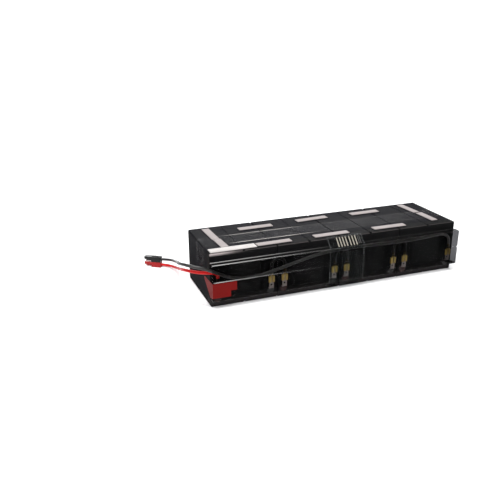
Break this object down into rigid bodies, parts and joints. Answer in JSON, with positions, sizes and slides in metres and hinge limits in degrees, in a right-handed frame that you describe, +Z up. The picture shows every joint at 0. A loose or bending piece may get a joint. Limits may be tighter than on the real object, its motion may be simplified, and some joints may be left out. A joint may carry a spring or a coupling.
{
  "type": "ups battery cartridge",
  "caption": "Row of sealed lead-acid blocks wired in series, with a clear terminal shield, foam strips and two leads with single-pole connectors.",
  "frame": {"origin": "bottom centre of the pack on the surface it stands on, its free leads not counted", "axes": "+X along the row of blocks, away from the free leads; -Y the side with lids, terminals and shield; +Z up"},
  "size_m": [0.4117, 0.1807, 0.0721],
  "materials": {
    "case_plastic": "fine moulded grain, near black",
    "tinned_terminal": "tin plate",
    "receptacle_brass": "stamped brass",
    "wire_black": "extruded PVC",
    "wire_red": "extruded PVC",
    "housing_red": "moulded polycarbonate",
    "housing_black": "moulded polycarbonate",
    "contact_silver": "silver plate",
    "resin_red": "poured epoxy resin",
    "resin_black": "poured epoxy resin",
    "clear_sheet": "clear folded PVC sheet",
    "clear_tape": "clear packing tape",
    "clear_label": "clear film with white bars",
    "red_label_film": "dark red film",
    "strip_foam": "closed-cell foam, white"
  },
  "bodies": {
    "root": {"bar_label": "clear_label", "contact_negative": "contact_silver", "contact_positive": "contact_silver", "container_1": "case_plastic", "container_2": "case_plastic", "container_3": "case_plastic", "container_4": "case_plastic", "housing_negative": "housing_black", "housing_positive": "housing_red", "jumper_1": "wire_black", "jumper_2": "wire_black", "jumper_3": "wire_black", "lid_1": "case_plastic", "lid_2": "case_plastic", "lid_3": "case_plastic", "lid_4": "case_plastic", "negative_lead": "wire_black", "positive_lead": "wire_red", "receptacle_negative_1": "receptacle_brass", "receptacle_negative_2": "receptacle_brass", "receptacle_negative_3": "receptacle_brass", "receptacle_negative_4": "receptacle_brass", "receptacle_positive_1": "receptacle_brass", "receptacle_positive_2": "receptacle_brass", "receptacle_positive_3": "receptacle_brass", "receptacle_positive_4": "receptacle_brass", "red_label": "red_label_film", "seals_negative": "resin_black", "seals_positive": "resin_red", "shield_lower": "clear_sheet", "shield_upper": "clear_sheet", "strip_back_left": "strip_foam", "strip_back_middle": "strip_foam", "strip_back_right": "strip_foam", "strip_corner": "strip_foam", "strip_front_left": "strip_foam", "strip_front_middle": "strip_foam", "strip_front_right": "strip_foam", "strip_left_back": "strip_foam", "strip_left_front": "strip_foam", "strip_right_back": "strip_foam", "strip_right_front": "strip_foam", "tape_band": "clear_tape", "terminal_negative_1": "tinned_terminal", "terminal_negative_2": "tinned_terminal", "terminal_negative_3": "tinned_terminal", "terminal_negative_4": "tinned_terminal", "terminal_positive_1": "tinned_terminal", "terminal_positive_2": "tinned_terminal", "terminal_positive_3": "tinned_terminal", "terminal_positive_4": "tinned_terminal", "vent_cover_1": "case_plastic", "vent_cover_2": "case_plastic", "vent_cover_3": "case_plastic", "vent_cover_4": "case_plastic"}
  },
  "joints": []
}
